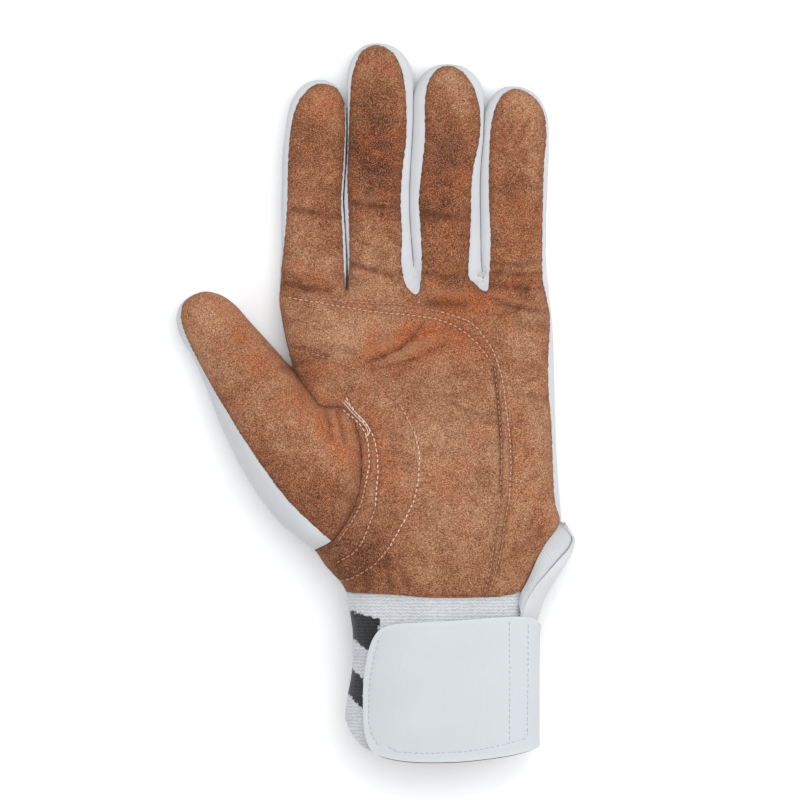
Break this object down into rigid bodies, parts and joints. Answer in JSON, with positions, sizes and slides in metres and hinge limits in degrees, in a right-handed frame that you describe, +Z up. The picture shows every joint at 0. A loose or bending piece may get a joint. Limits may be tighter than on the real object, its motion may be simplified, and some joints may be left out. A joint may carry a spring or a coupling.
{
  "type": "wicketkeeping inner glove",
  "caption": "Left-hand padded inner glove lying on its back: suede palm and thumb, white cloth back, knitted cuff and wide wrist strap.",
  "frame": {"origin": "on the surface the glove rests on, below the middle of its outline", "axes": "+Z up out of the palm, +Y towards the fingertips, -X towards the thumb"},
  "size_m": [0.1433, 0.2589, 0.0412],
  "materials": {
    "suede": "soft orange-brown suede with a mottled nap",
    "suede_patch": "orange-brown suede patch with stitched edges",
    "white_cloth": "fine white cloth with a cool cast",
    "knit": "white ribbed knit with black stripes",
    "strap_cloth": "smooth brushed white strap cloth",
    "dark_red": "dark red backing tape",
    "stripe_black": "black knitted stripe",
    "thread": "pale sewing thread"
  },
  "bodies": {
    "root": {"palm_panel": "suede", "palm_patch": "suede_patch", "thumb_patch": "suede_patch", "thumb_front": "suede", "thumb_back": "white_cloth", "back_panel": "white_cloth", "fourchette_index_middle": "white_cloth", "fourchette_middle_ring": "white_cloth", "fourchette_ring_little": "white_cloth", "cuff": "knit", "side_gusset": "knit", "side_flap": "strap_cloth", "wrist_strap": "strap_cloth", "strap_backing": "dark_red"}
  },
  "joints": []
}
